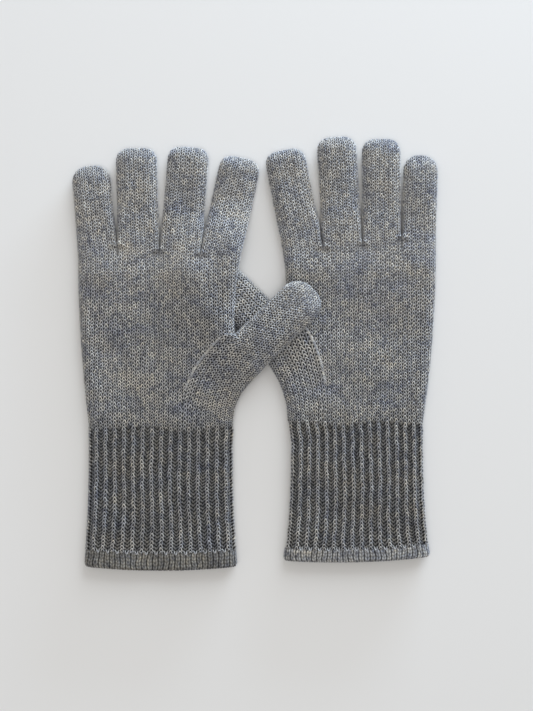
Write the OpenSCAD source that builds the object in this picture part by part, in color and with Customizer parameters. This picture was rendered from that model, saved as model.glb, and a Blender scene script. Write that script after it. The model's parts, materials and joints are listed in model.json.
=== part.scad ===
// A pair of knitted gloves lying flat, fingers away from the wearer.
// Units are millimetres. +X is to the right, +Y towards the fingertips, +Z up.
// "Across" is the distance from the middle line of the pair, so that one set of
// shapes serves both gloves. Every pair of values is [left glove, right glove].

/* [Pair] */
// Thickness of a glove lying flat
thick = 8; // [6.5:0.1:12]
// Thickness of the knitted wall
wall = 1.6; // [1:0.1:2]
// Running gap between pieces that bend or lift against each other
gap = 0.35; // [0.2:0.05:0.6]
// Gap between pieces that are sewn to the same panel
seam_gap = 0.1; // [0.05:0.05:0.3]
// How far each edge of a flattened tube is rounded, measured in the plane
edge_round = 6.5; // [4:0.5:9]

/* [Hand] */
// Height of the knuckle line above the middle of the pair
knuckle_y = [60.4, 64.8]; // [50:0.2:80]
// Height of the line where the ribbed cuff joins the hand
wrist_y = [-46.5, -43.5]; // [-60:0.5:-30]
// Across, outer edge of the hand at the wrist
hand_outer_wrist = [102.6, 104.5]; // [80:0.1:120]
// Across, outer edge of the hand at the knuckles
hand_outer_knuckle = [109.4, 112.5]; // [80:0.1:125]
// Across, inner edge of the hand at the knuckles
hand_inner_knuckle = [8.4, 17.4]; // [0:0.1:30]
// Across and height of the corner between thumb and palm
crotch = [[12.1, 12.1], [19.5, 23.3]]; // [0:0.1:30]

/* [Thumb] */
// Across, inner edge of the gusset at the wrist
gusset_inner_wrist = [13.3, 20.6]; // [5:0.1:30]
// Across, line where the gusset leaves the palm at the wrist
gusset_line_wrist = [45, 44.5]; // [30:0.5:60]
// Direction of the thumb, degrees above the across direction
thumb_angle = [44, 45]; // [30:1:80]
// Length of the free thumb
thumb_length = [54, 53.5]; // [40:0.5:70]
// Width of the thumb laid flat
thumb_width = [27.6, 27.2]; // [20:0.2:35]

/* [Fingers] */
// Index finger, left glove: across at base, across at tip, height of tip, width
index_left = [20.6, 9.4, 121.2, 24.3]; // [0:0.1:130]
// Middle finger, left glove
middle_left = [46.1, 40.6, 128, 25.3]; // [0:0.1:135]
// Ring finger, left glove
ring_left = [71.8, 73.5, 127.4, 25.2]; // [0:0.1:135]
// Little finger, left glove
little_left = [97, 102, 116.3, 23.6]; // [0:0.1:130]
// Index finger, right glove
index_right = [30, 19.2, 125.9, 24.4]; // [0:0.1:135]
// Middle finger, right glove
middle_right = [54.7, 50.6, 134.2, 24.2]; // [0:0.1:140]
// Ring finger, right glove
ring_right = [78.9, 78.5, 133, 23.8]; // [0:0.1:140]
// Little finger, right glove
little_right = [101.8, 103.3, 123, 21.2]; // [0:0.1:135]

/* [Cuff] */
// Across, outer edge of the cuff at its waist
cuff_outer = [102.4, 104.5]; // [80:0.1:120]
// Across, inner edge of the cuff at its waist
cuff_inner = [13.9, 22.2]; // [5:0.1:30]
// Height of the line where the hem begins
hem_y = [-122.4, -120.2]; // [-140:0.1:-100]
// Height of the lower edge of the hem
end_y = [-134.2, -129]; // [-150:0.1:-110]
// How far the hem flares beyond the waist of the cuff on each side
flare = [3, 4.5]; // [0:0.1:8]
// Number of raised ribs on each face of the cuff
ribs = [15, 15]; // [8:1:20]
// Height of a rib
rib_height = 0.5; // [0:0.1:0.8]

/* [Trim] */
// Width of the raised line of stitches along the gusset
ridge_width = 2.4; // [1:0.1:4]
// Height of that line above the knit
ridge_height = 0.7; // [0.3:0.1:1.5]
// Size of the bridging stitches in each finger corner: along, across, height
join_size = [5, 3.4, 0.9]; // [0.5:0.1:6]

/* [Colours] */
// Yarn of the hand and fingers
yarn = [0.45, 0.45, 0.46]; // [0:0.01:1]
// Yarn of the ribbed cuff, which reads darker
rib_yarn = [0.36, 0.36, 0.365]; // [0:0.01:1]
// Lighter yarn of the sewn joins
join_yarn = [0.55, 0.55, 0.56]; // [0:0.01:1]

/* [Hidden] */
$fn = 24;
LEFT = 0;
RIGHT = 1;
half = thick / 2;
overlap_rise = thick + 0.4;   // rise of the left glove where it crosses the right
drape = 22;                   // length over which that rise fades out
thumb_play = 10;              // degrees the lower thumb can slide
round_steps = 4;              // facets round each edge

// ---------------------------------------------------------------- helpers

function mix(a, b, t) = a + (b - a) * t;
function clamp(v, lo, hi) = min(max(v, lo), hi);
function ease(t) = let (s = clamp(t, 0, 1)) s * s * (3 - 2 * s);
function side(g) = g == LEFT ? -1 : 1;
function unit(v) = v / norm(v);
function across_of(g, x) = side(g) * x;

// Point at t on the curve with four control points.
function curve(p, t) =
  let (s = 1 - t)
  p[0] * s * s * s + p[1] * 3 * s * s * t + p[2] * 3 * s * t * t + p[3] * t * t * t;

// Distance from point q to the segment a-b.
function to_segment(q, a, b) =
  let (ab = b - a, t = clamp(((q - a) * ab) / (ab * ab), 0, 1))
  norm(q - a - ab * t);

// ---------------------------------------------------------------- thumbs

// Direction of the thumb in the plane.
function thumb_dir(g) = [-side(g) * cos(thumb_angle[g]), sin(thumb_angle[g])];
// Direction across the thumb, from the palm corner to the outer edge.
function thumb_cross(g) = [-side(g) * sin(thumb_angle[g]), -cos(thumb_angle[g])];
// Corner between thumb and palm, as a point in the plane.
function corner(g) = [side(g) * crotch[g][0], crotch[g][1]];
// Middle of the line where the thumb meets its gusset.
function thumb_base(g) = corner(g) + thumb_cross(g) * (thumb_width[g] / 2);
// Lower end of that line.
function thumb_heel(g) = corner(g) + thumb_cross(g) * thumb_width[g];
// Centre of the rounded tip.
function thumb_end(g) =
  thumb_base(g) + thumb_dir(g) * (thumb_length[g] - thumb_width[g] / 2);

// The same point after the thumb has slid by an angle about its palm corner.
function slid(g, p, deg) =
  let (v = p - corner(g), c = cos(deg), s = sin(deg))
  corner(g) + [c * v[0] - s * v[1], s * v[0] + c * v[1]];

// ---------------------------------------------------------------- drape

// Clearance outside everything of the right glove that lies under the left.
function off_right(q) =
  let (r = thumb_width[RIGHT] / 2 + 0.6,
       b = thumb_base(RIGHT),
       e = thumb_end(RIGHT))
  min(to_segment(q, b, e) - r,
      to_segment(q, slid(RIGHT, b, -thumb_play), slid(RIGHT, e, -thumb_play)) - r,
      to_segment(q, [12, 12], [26, -20]) - 14,
      to_segment(q, [37, -30], [37, 52]) - 19);

// Height added to the left glove, which lies over the right thumb and palm.
function rise(g, x, y) =
  g == RIGHT ? 0 : overlap_rise * (1 - ease(off_right([x, y]) / drape));

// Point of a glove from across, height along the hand, and height of the knit.
function place(g, a, y, z) =
  let (x = side(g) * a) [x, y, half + z + rise(g, x, y)];

// Point from a position in the plane and a height of the knit.
function lay(g, q, z) = [q[0], q[1], half + z + rise(g, q[0], q[1])];

// ---------------------------------------------------------------- cloth

// Closed wall between an outer and an inner grid of points. Rows run along the
// piece. hole = [rows, first column, last column] leaves an opening from row 0.
module cloth(outer, inner, wraps = true, tip = [], hole = [0, 0, 0], flip = false) {
  n = len(outer);
  m = len(outer[0]);
  cells = wraps ? m : m - 1;
  total = n * m;
  points = concat(
    [for (r = outer, p = r) p],
    [for (r = inner, p = r) p],
    tip);
  function at(i, j) = i * m + j % m;
  function kept(i, j) =
    let (c = wraps ? (j + m) % m : j)
    i >= 0 && i < n - 1 && c >= 0 && c < cells
    && !(i < hole[0] && c >= hole[1] && c < hole[2]);
  function quad(a, b, c, d) = [[a, b, c], [a, c, d]];
  skin = [for (i = [0:n - 2], j = [0:cells - 1]) if (kept(i, j))
    let (a = at(i, j), b = at(i, j + 1), c = at(i + 1, j + 1), d = at(i + 1, j))
    concat(
      quad(a, b, c, d),
      quad(d + total, c + total, b + total, a + total),
      kept(i - 1, j) ? [] : quad(b, a, a + total, b + total),
      kept(i, j + 1) ? [] : quad(c, b, b + total, c + total),
      kept(i + 1, j) || (len(tip) > 0 && i == n - 2)
        ? [] : quad(d, c, c + total, d + total),
      kept(i, j - 1) ? [] : quad(a, d, d + total, a + total))];
  top = len(tip) == 0 ? [] : [for (j = [0:cells - 1])
    let (d = at(n - 1, j), c = at(n - 1, j + 1))
    [[d, c, 2 * total], [c + total, d + total, 2 * total + 1]]];
  faces = [for (group = concat(skin, top), f = group)
    flip ? [f[2], f[1], f[0]] : f];
  polyhedron(points = points, faces = faces, convexity = 8);
}

// Flattened tube as [across, height] points: from the outer edge over the top,
// through line g, to the inner edge, and back underneath.
function section(ao, ai, g, r, h, n1, n2) =
  let (k = round_steps,
       top = concat(
         [for (i = [0:k]) let (f = 90 * i / k) [ao - r * (1 - cos(f)), h * sin(f)]],
         [for (i = [1:n1]) [mix(ao - r, g, i / n1), h]],
         [for (i = [1:n2]) [mix(g, ai + r, i / n2), h]],
         [for (i = [1:k]) let (f = 90 - 90 * i / k) [ai + r * (1 - cos(f)), h * sin(f)]]),
       n = len(top))
  concat(top, [for (i = [n - 2:-1:1]) [top[i][0], -top[i][1]]]);

// ---------------------------------------------------------------- hand

columns_palm = 8;
columns_gusset = 4;

// Across of the outer edge of the hand at height y.
function hand_outer(g, y) =
  let (t = (y - wrist_y[g]) / (knuckle_y[g] - wrist_y[g]))
  mix(hand_outer_wrist[g], hand_outer_knuckle[g], 1 - (1 - t) * (1 - t));

// Across of the inner edge of the hand above the thumb corner.
function hand_inner(g, y) =
  let (t = (y - crotch[g][1]) / (knuckle_y[g] - crotch[g][1]))
  mix(crotch[g][0], hand_inner_knuckle[g], t * t) + 0.8 * sin(180 * t);

// Line where the gusset leaves the palm, from the wrist (0) to the corner (1).
function gusset_line(g, t) =
  curve([[gusset_line_wrist[g], wrist_y[g]],
         [gusset_line_wrist[g] + 1, wrist_y[g] + 32],
         [crotch[g][0] + 17, crotch[g][1] - 12],
         [crotch[g][0] + edge_round, crotch[g][1]]], t);

rows_low = 6;    // rows of the hand below the thumb corner
rows_high = 5;   // rows above it

// Heights of the rows of the hand.
function hand_rows(g) = concat(
  [for (i = [0:rows_low - 1]) gusset_line(g, i / rows_low)[1]],
  [for (i = [0:rows_high]) mix(crotch[g][1], knuckle_y[g], i / rows_high)]);

function hand_grid(g, w) = [for (i = [0:rows_low + rows_high])
  let (y = hand_rows(g)[i],
       line = i <= rows_low ? gusset_line(g, i / rows_low)[0]
                            : hand_inner(g, y) + edge_round,
       ai = i < rows_low ? line - edge_round : hand_inner(g, y))
  [for (p = section(hand_outer(g, y) - w, ai + w, line, edge_round - w, half - w,
                    columns_palm, columns_gusset))
    place(g, p[0], y, p[1])]];

module hand(g) {
  first = round_steps + columns_palm;
  last = len(hand_grid(g, 0)[0]) - first;
  color(yarn)
    cloth(hand_grid(g, 0), hand_grid(g, wall), hole = [rows_low, first, last],
          flip = g == LEFT);
}

// ---------------------------------------------------------------- gusset

rows_gusset = 9;

// Outer edge of the gusset, from the wrist (0) to the heel of the thumb (1).
function gusset_edge(g, t) =
  let (h = thumb_heel(g), ha = across_of(g, h[0]), w = gusset_inner_wrist[g])
  curve([[w, wrist_y[g]], [w, wrist_y[g] + 20],
         [mix(ha, w, 0.45), h[1] - 11], [ha, h[1]]], t);

// One row of the gusset: from the palm line over the top, round the outer edge
// and back underneath.
function gusset_row(g, i, w) =
  let (t = i / rows_gusset,
       a0 = t < 1 ? gusset_line(g, min(1, t * 1.12)) : crotch[g] + [w, 0],
       e0 = gusset_edge(g, t),
       along = unit(e0 - a0),
       a = a0 + along * seam_gap,
       e = e0 - along * w,
       r = edge_round - w,
       d = norm(e - a) - r,
       k = round_steps,
       flat = [for (j = [0:4]) [d * j / 4, 1 - (t < 1 ? 0 : 0.75 * (1 - sqrt(j / 4)))]],
       bend = [for (j = [1:k]) let (f = 90 * j / k) [d + r * sin(f), cos(f)]],
       top = concat(flat, bend),
       n = len(top))
  concat(
    [for (p = top) let (q = a + along * p[0]) place(g, q[0], q[1], p[1] * (half - w))],
    [for (j = [n - 2:-1:0]) let (p = top[j], q = a + along * p[0])
      place(g, q[0], q[1], -p[1] * (half - w))]);

module thumb_gusset(g) {
  color(yarn)
    cloth([for (i = [0:rows_gusset]) gusset_row(g, i, 0)],
          [for (i = [0:rows_gusset]) gusset_row(g, i, wall)],
          wraps = false, flip = g == LEFT);
}

// ---------------------------------------------------------------- fingers

around = 20;        // facets round a finger
shaft_rows = 6;     // rows along the straight part
tip_rows = 4;       // rows round the tip

function power(v, e) = sign(v) * pow(abs(v), e);

// Ring of a finger: centre, direction across, half width and half thickness.
function ring(g, c, u, w, h) = [for (k = [0:around - 1])
  let (f = 360 * k / around, q = c + u * (w * power(cos(f), 0.78)))
  lay(g, q, h * power(sin(f), 0.72))];

// Rings from base b along d, length l, width w, with in-plane base direction u.
function finger_rings(g, b, d, u, l, w, inset) =
  let (r = w / 2 - inset, cross = [d[1], -d[0]], h = half - inset)
  concat(
    [for (i = [0:shaft_rows - 1])
      let (t = i / shaft_rows, v = unit(mix(u, cross, min(1, 2 * t))),
           s = t * (l - w / 2))
      ring(g, b + d * s, v, r / (v * cross), h)],
    [for (i = [0:tip_rows - 1])
      let (f = 90 * i / (tip_rows - 0.35))
      ring(g, b + d * (l - w / 2 + r * sin(f)), cross, r * cos(f), h * pow(cos(f), 0.55))]);

module tube(g, b, d, u, l, w) {
  color(yarn)
    cloth(finger_rings(g, b, d, u, l, w, 0), finger_rings(g, b, d, u, l, w, wall),
          tip = [lay(g, b + d * l, 0), lay(g, b + d * (l - wall), 0)]);
}

// Finger from its four measures.
module finger(g, f) {
  b = [side(g) * f[0], knuckle_y[g] + gap];
  e = [side(g) * f[1], f[2]];
  tube(g, b, unit(e - b), [1, 0], norm(e - b), f[3]);
}

module thumb(g) {
  d = thumb_dir(g);
  tube(g, thumb_base(g) + d * gap, d, [d[1], -d[0]], thumb_length[g] - gap,
       thumb_width[g]);
}

// ---------------------------------------------------------------- cuff

cuff_rows = 4;

// Half of the extra width of the cuff at height y.
function cuff_flare(g, y) =
  let (t = clamp((wrist_y[g] - y) / (wrist_y[g] - hem_y[g]), 0, 1.3))
  flare[g] * t * t * t * 0.75;

// Ribbed section: the flat faces rise and fall once for every rib.
function rib_section(g, y, w, steps, rise) =
  let (ao = cuff_outer[g] + cuff_flare(g, y), ai = cuff_inner[g] - cuff_flare(g, y),
       s = section(ao - w, ai + w, (ao + ai) / 2, edge_round - w, half - w,
                   steps, steps))
  [for (i = [0:len(s) - 1])
    let (p = s[i], flat = abs(p[1]) > half - w - 0.001,
         drop = flat && p[1] > 0 && i % 2 == 1 ? rise : 0)
    place(g, p[0], y, p[1] - drop)];

module cuff(g) {
  hi = wrist_y[g] - gap;
  lo = hem_y[g] + seam_gap;
  y = [for (i = [0:cuff_rows]) mix(lo, hi, i / cuff_rows)];
  color(rib_yarn)
    cloth([for (v = y) rib_section(g, v, 0, ribs[g] - 1, rib_height)],
          [for (v = y) rib_section(g, v, wall, ribs[g] - 1, 0)],
          flip = g == LEFT);
}

module hem(g) {
  drop = [0, 0.5, 0.85, 1];
  inset = [0, 0.2, 1.2, 3.4];
  rows = [for (i = [3:-1:0])
    [mix(hem_y[g], end_y[g], drop[i]), inset[i]]];
  function rows_at(w) = [for (r = rows)
    let (y = r[0], f = cuff_flare(g, y) - r[1],
         ao = cuff_outer[g] + f, ai = cuff_inner[g] - f)
    [for (p = section(ao - w, ai + w, (ao + ai) / 2, edge_round - w, half - w, 8, 8))
      place(g, p[0], y, p[1])]];
  color(rib_yarn) cloth(rows_at(0), rows_at(wall), flip = g == LEFT);
}

// ---------------------------------------------------------------- trim

ridge_rows = 10;

// Raised line of stitches that covers the join of palm and gusset.
module gusset_ridge(g) {
  function bead(i, w, h) =
    let (t = 0.02 + 0.9 * i / ridge_rows, c = gusset_line(g, t),
         d = unit(gusset_line(g, t + 0.02) - gusset_line(g, t - 0.02)),
         u = [d[1], -d[0]])
    [for (f = [0:30:180])
      let (q = c + u * (w * cos(f)))
      place(g, q[0], q[1], half + 0.12 + h * sin(f))];
  rows = [for (i = [0:ridge_rows]) bead(i, ridge_width / 2, ridge_height)];
  m = len(rows[0]);
  n = len(rows);
  function at(i, j) = i * m + j % m;
  body = [for (i = [0:n - 2], j = [0:m - 1])
    each [[at(i, j), at(i, j + 1), at(i + 1, j + 1)],
          [at(i, j), at(i + 1, j + 1), at(i + 1, j)]]];
  ends = [for (j = [1:m - 2])
    each [[0, j + 1, j], [at(n - 1, 0), at(n - 1, j), at(n - 1, j + 1)]]];
  faces = concat(body, ends);
  color(join_yarn)
    polyhedron(points = [for (r = rows, p = r) p],
               faces = g == RIGHT ? [for (f = faces) [f[2], f[1], f[0]]] : faces,
               convexity = 4);
}

// Bridging stitches in the three corners between the fingers.
module crotch_joins(g) {
  fingers = g == LEFT ? [index_left, middle_left, ring_left, little_left]
                      : [index_right, middle_right, ring_right, little_right];
  color(join_yarn)
    for (i = [0:2]) {
      a = (fingers[i][0] + fingers[i][3] / 2 + fingers[i + 1][0] - fingers[i + 1][3] / 2) / 2;
      y = knuckle_y[g] - join_size[0] / 2 - 0.3;
      p = place(g, a, y, half + 0.3 + join_size[2] / 2);
      translate(p)
        rotate([0, 0, side(g) * 4])
          cube([join_size[1], join_size[0] - 0.6, join_size[2]], center = true);
    }
}

// ---------------------------------------------------------------- pieces

module left_hand() { hand(LEFT); }
module left_thumb_gusset() { thumb_gusset(LEFT); }
module left_thumb() { thumb(LEFT); }
module left_index_finger() { finger(LEFT, index_left); }
module left_middle_finger() { finger(LEFT, middle_left); }
module left_ring_finger() { finger(LEFT, ring_left); }
module left_little_finger() { finger(LEFT, little_left); }
module left_cuff() { cuff(LEFT); }
module left_hem() { hem(LEFT); }
module left_gusset_ridge() { gusset_ridge(LEFT); }
module left_crotch_joins() { crotch_joins(LEFT); }
module right_hand() { hand(RIGHT); }
module right_thumb_gusset() { thumb_gusset(RIGHT); }
module right_thumb() { thumb(RIGHT); }
module right_index_finger() { finger(RIGHT, index_right); }
module right_middle_finger() { finger(RIGHT, middle_right); }
module right_ring_finger() { finger(RIGHT, ring_right); }
module right_little_finger() { finger(RIGHT, little_right); }
module right_cuff() { cuff(RIGHT); }
module right_hem() { hem(RIGHT); }
module right_gusset_ridge() { gusset_ridge(RIGHT); }
module right_crotch_joins() { crotch_joins(RIGHT); }

left_hand();
left_thumb_gusset();
left_thumb();
left_index_finger();
left_middle_finger();
left_ring_finger();
left_little_finger();
left_cuff();
left_hem();
left_gusset_ridge();
left_crotch_joins();
right_hand();
right_thumb_gusset();
right_thumb();
right_index_finger();
right_middle_finger();
right_ring_finger();
right_little_finger();
right_cuff();
right_hem();
right_gusset_ridge();
right_crotch_joins();
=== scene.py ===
"""Looks of a pair of marled knitted gloves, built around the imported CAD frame.

Everything is worked out in millimetres, in a "hand frame" that both gloves share: x grows
from the little finger to the thumb and is 0 on the middle line of the pair. The right
glove is the mirror image of these shapes.

Knit coordinates: k counts wales (columns of stitches) and c counts courses (rows). Every
vertex carries its k and c as UV, and the stitches are real relief on the surface.
"""
import json
from math import ceil, cos, floor, pi, radians, sin
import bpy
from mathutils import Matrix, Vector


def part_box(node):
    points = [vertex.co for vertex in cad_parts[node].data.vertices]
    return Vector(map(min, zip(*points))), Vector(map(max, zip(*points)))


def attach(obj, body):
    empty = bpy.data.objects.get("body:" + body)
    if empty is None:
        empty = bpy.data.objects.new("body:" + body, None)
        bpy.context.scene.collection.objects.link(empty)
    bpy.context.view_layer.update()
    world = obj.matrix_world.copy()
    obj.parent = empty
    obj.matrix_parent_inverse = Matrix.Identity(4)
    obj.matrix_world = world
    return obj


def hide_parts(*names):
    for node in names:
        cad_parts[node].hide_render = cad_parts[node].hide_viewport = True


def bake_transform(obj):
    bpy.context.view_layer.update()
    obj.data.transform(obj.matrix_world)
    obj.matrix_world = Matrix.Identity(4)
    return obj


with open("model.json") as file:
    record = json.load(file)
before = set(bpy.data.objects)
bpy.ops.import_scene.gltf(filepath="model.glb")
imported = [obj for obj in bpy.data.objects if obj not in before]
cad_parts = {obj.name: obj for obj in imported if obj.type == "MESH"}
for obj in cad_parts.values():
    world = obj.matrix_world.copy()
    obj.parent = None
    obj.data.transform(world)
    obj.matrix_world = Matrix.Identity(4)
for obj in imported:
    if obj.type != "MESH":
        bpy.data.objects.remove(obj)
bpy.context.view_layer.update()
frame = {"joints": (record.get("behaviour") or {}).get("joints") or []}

from types import SimpleNamespace

import bpy
import numpy as np
from mathutils import Vector

MM = 0.001
JOINTS = {j["name"]: j for j in frame["joints"]}


def box_mm(node):
    """Lowest and highest corner of a CAD node, in millimetres."""
    lo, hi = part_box(node)
    return np.array(lo) / MM, np.array(hi) / MM


def joint_mm(name):
    """Point of a joint, in millimetres."""
    return np.array(JOINTS[name]["pos_m"]) / MM


# ---- measures

THICK = box_mm("right_hand")[1][2]  # a glove lying flat
HALF = THICK / 2
WALL = 1.3  # thickness of the knit
EDGE = 6.5  # in-plane rounding of a flattened edge
WALE = 2.8  # width of a stitch
COURSE = 2.05  # height of a stitch on the palm
FINGER_COURSE = 1.9  # the same on the fingers
RIB_COURSE = 2.17  # and on the cuff
OVERLAP_RISE = THICK + 0.4  # the left glove lies this much higher on the right
DRAPE = 36.0  # length over which that rise fades
RIB_ABOVE_FOLD = 2.0  # the rib begins this far above the fold of the cuff
THUMB_PLAY = 10.0  # degrees that the lower thumb can slide
THUMB_WIDTH = (27.6, 27.2)
THUMB_ANGLE = (44, 45)  # degrees between a thumb and a line across the hand
FOLD = 18.0  # length given to bend for a finger, thumb or cuff

PER_WALE = 6  # columns of the mesh to a wale
LOW_STEP = 3  # the underside has one column for three on top
PER_COURSE = 6  # rows of the mesh to a course
LAP = 0.35  # pieces reach this far under their neighbour
SAG = -1.2  # the widest line lies below the middle, as in soft cloth on a table
SWELL = 0.6  # height of the slow swells
TRIM_YARN = 0.36  # radius of the small loops and bridging stitches
CUFF_WALES = 33  # on one face of the cuff

# how far above the knuckle line the corner beside each finger lies
CROTCH_RISE = {"little": 6.0, "ring": 2.6, "middle": 0.4}

LEFT, RIGHT = 0, 1                      # where a measure has two values, in this order
NAMES = ("left", "right")

# across at base, across at tip, width: from the index to the little finger
FINGERS = (
    {"index": (20.6, 8.1, 25.2), "middle": (46.1, 40.6, 25.3),
     "ring": (71.8, 73.5, 25.2), "little": (97.0, 102.0, 23.6)},
    {"index": (30.0, 17.9, 25.0), "middle": (54.7, 50.6, 24.2),
     "ring": (78.9, 78.5, 23.8), "little": (101.8, 103.3, 21.2)},
)
ORDER = ("index", "middle", "ring", "little")


def measures(side):
    """Measures of one glove, in the hand frame."""
    name = NAMES[side]
    wide = THUMB_WIDTH[side]
    angle = radians(THUMB_ANGLE[side])
    toward = np.array([cos(angle), sin(angle)])     # along the thumb
    across = np.array([sin(angle), -cos(angle)])    # palm corner to heel
    if side == LEFT:
        corner = joint_mm("left_thumb_lift")[:2] - across * wide / 2
    else:
        corner = joint_mm("right_thumb_slide_under")[:2] * (-1, 1)
    return SimpleNamespace(
        side=side, name=name,
        knuckle=joint_mm(name + "_index_finger_bend")[1],
        wrist=joint_mm(name + "_cuff_fold")[1] + RIB_ABOVE_FOLD,
        outer_wrist=(102.6, 104.5)[side], outer_knuckle=(109.4, 112.5)[side],
        inner_knuckle=(8.4, 17.4)[side], inner_wrist=(13.3, 20.6)[side],
        line_wrist=(45.0, 44.5)[side],
        corner=corner, toward=toward, across=across, thumb_width=wide,
        thumb_length=(54.0, 53.5)[side],
        cuff_outer=(102.4, 104.5)[side], cuff_inner=(13.9, 22.2)[side],
        flare=(3.0, 4.5)[side], bow=(2.4, 2.0)[side], tilt=(0.0, 1.2)[side],
        hem=box_mm(name + "_cuff")[0][1], end=box_mm(name + "_hem")[0][1],
        fingers=FINGERS[side],
        tips={f: box_mm(f"{name}_{f}_finger")[1][1] for f in ORDER},
    )


GLOVES = [measures(side) for side in (LEFT, RIGHT)]


# ---- helpers

def mix(a, b, t):
    return a + (b - a) * t


def ease(t):
    t = np.clip(t, 0.0, 1.0)
    return t * t * (3 - 2 * t)


def curve(points, t):
    """Point at t on the curve with four control points."""
    p = [np.array(q, float) for q in points]
    t = np.asarray(t, float)[..., None]
    s = 1 - t
    return p[0] * s**3 + 3 * p[1] * s * s * t + 3 * p[2] * s * t * t + p[3] * t**3


def to_segment(x, y, a, b):
    """Distance from the points (x, y) to the segment a-b."""
    ax, ay = a
    dx, dy = b[0] - ax, b[1] - ay
    t = np.clip(((x - ax) * dx + (y - ay) * dy) / (dx * dx + dy * dy), 0, 1)
    return np.hypot(x - ax - dx * t, y - ay - dy * t)


def turned(p, centre, degrees):
    """Point p turned about centre."""
    c, s = cos(radians(degrees)), sin(radians(degrees))
    v = np.subtract(p, centre)
    return (centre[0] + c * v[0] - s * v[1], centre[1] + s * v[0] + c * v[1])


# parts of the right glove that lie under the left one besides its thumb: from, to, reach
UNDER_LEFT = [((12, 12), (26, -20), 14), ((37, -30), (37, 52), 19)]


def lower_thumb():
    """Corner, base and tip centre of the right thumb, in the frame of the pair."""
    g = GLOVES[RIGHT]
    flip = np.array([-1, 1])
    base = (g.corner + g.across * g.thumb_width / 2) * flip
    end = base + g.toward * flip * (g.thumb_length - g.thumb_width / 2)
    return g.corner * flip, base, end


def rise(x, y):
    """How far the left glove is lifted by what lies under it."""
    corner, base, end = lower_thumb()
    reach = GLOVES[RIGHT].thumb_width / 2 + 0.6
    slid = [turned(p, corner, -THUMB_PLAY) for p in (base, end)]
    under = [(base, end, reach), (*slid, reach)] + UNDER_LEFT
    gap = np.min([to_segment(x, y, a, b) - r for a, b, r in under], axis=0)
    return OVERLAP_RISE * (1 - ease(gap / DRAPE))


DICE_SIZE = 128
DICE = np.random.default_rng(7).random((4, DICE_SIZE, DICE_SIZE))[1]


def dice(i, j):
    """A fixed random number for stitch (i, j)."""
    return DICE[np.mod(i, DICE_SIZE), np.mod(j, DICE_SIZE)]


# waves that make up the swells: radians per mm across and along, and phase
WAVES = [(0.083, 0.021, 0.3), (-0.034, 0.102, 1.7), (0.142, 0.067, 4.1),
         (0.051, -0.158, 2.6), (0.217, 0.094, 5.2)]


def swell(x, y):
    """Slow swells of the cloth, between about -1 and 1."""
    return sum(np.sin(a * x + b * y + p) for a, b, p in WAVES) / 2.6


# ---- stitches

APEX = 0.62  # where the top of a loop sits within its course
LEG_DROP = 0.9  # courses from the top of a loop down to its feet
YARN = 0.48  # half width of the yarn
PURL_DROP = 0.55  # the same drop for a purl bump, which hangs the other way
PURL_APEX = APEX - LEG_DROP - PURL_DROP
PURL_YARN = 0.5
START_FIRST = -0.25  # courses from the wrist line down to the first ribs
START_SPREAD = 0.8  # the last ribs start this much lower
START_FADE = 1.2  # courses over which a rib forms
START_STEP = 2.9  # radians from one wale to the next, which makes the starts uneven
HEM_SLANT = 0.6  # courses that a leg of a hem stitch drops across its wale
GAP = (0.72, 1.0, 0.62)  # where the groove between wales begins and ends, how deep it is
STITCH_HEIGHT = 0.8  # mm from the ground of the knit to the top of a loop
STITCH_ZERO = 0.7  # the part of that height which lies below the surface drawn here
RIB_DEPTH = 1.7  # mm from the raised wales of the rib to the sunken ones


def loop_height(k, c, drop, apex, yarn):
    """Height, 0 to 1, of the loops of yarn at (k, c). A negative drop hangs the loops."""
    ik = np.floor(k).astype(int)
    from_mid = np.abs(k - ik - 0.5) * 2
    s = c - apex + drop * (1 - np.cos(pi * from_mid)) / 2
    loop = np.floor(s + 0.5).astype(int)
    off = (s - loop) * COURSE
    slope = drop * pi * np.sin(pi * from_mid) * COURSE / WALE
    lot = dice(ik * 2 + (k - ik > 0.5), loop)
    wide = yarn * (0.92 + 0.16 * lot)
    h = 1 - (off / wide) ** 2 / (1 + slope**2)
    side_gap = 1 - GAP[2] * ease((from_mid - GAP[0]) / (GAP[1] - GAP[0]))
    return np.sqrt(np.clip(h, 0, 1)) * side_gap * (0.86 + 0.2 * lot)


def unevenness(k, c):
    """Knit coordinates shifted a little, as stitches are never quite in line."""
    up = np.sin(2.3 * k + 0.21 * c)
    up = up + np.sin(1.37 * k - 0.33 * c + 1) + np.sin(3.1 * k + 0.5 * c + 4)
    side = np.sin(0.9 * c + 0.5 * k) + np.sin(1.7 * c - 0.8 * k + 2)
    return k + 0.055 * side, c + 0.08 * up + 0.3 * np.sin(0.25 * c + 0.4 * k)


def raised(k):
    """1 on the raised wales of the rib and 0 on the sunken ones between them."""
    wave = 0.5 + 0.5 * np.cos(pi * (k - 0.5))
    return ease(0.5 + 1.3 * (wave - 0.5))


def rib_starts(k, c):
    """0 at the wrist line and 1 where the ribs are fully formed. Some start lower."""
    late = 0.5 + 0.5 * np.sin(START_STEP * np.floor(k))
    return ease((-c - START_FIRST - START_SPREAD * late) / START_FADE)


def hem_relief(k, c):
    """Fine wales of the hem, each with two slanting legs to a course."""
    from_mid = np.abs(2 * (k - np.floor(k)) - 1)
    wale = 1 - from_mid ** 6.0
    leg = np.sin(pi * from_mid)
    turns = np.cos(2 * pi * (c - HEM_SLANT * from_mid))
    return 0.5 * wale * (0.55 + 0.35 * leg + 0.1 * turns) - 0.3


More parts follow.
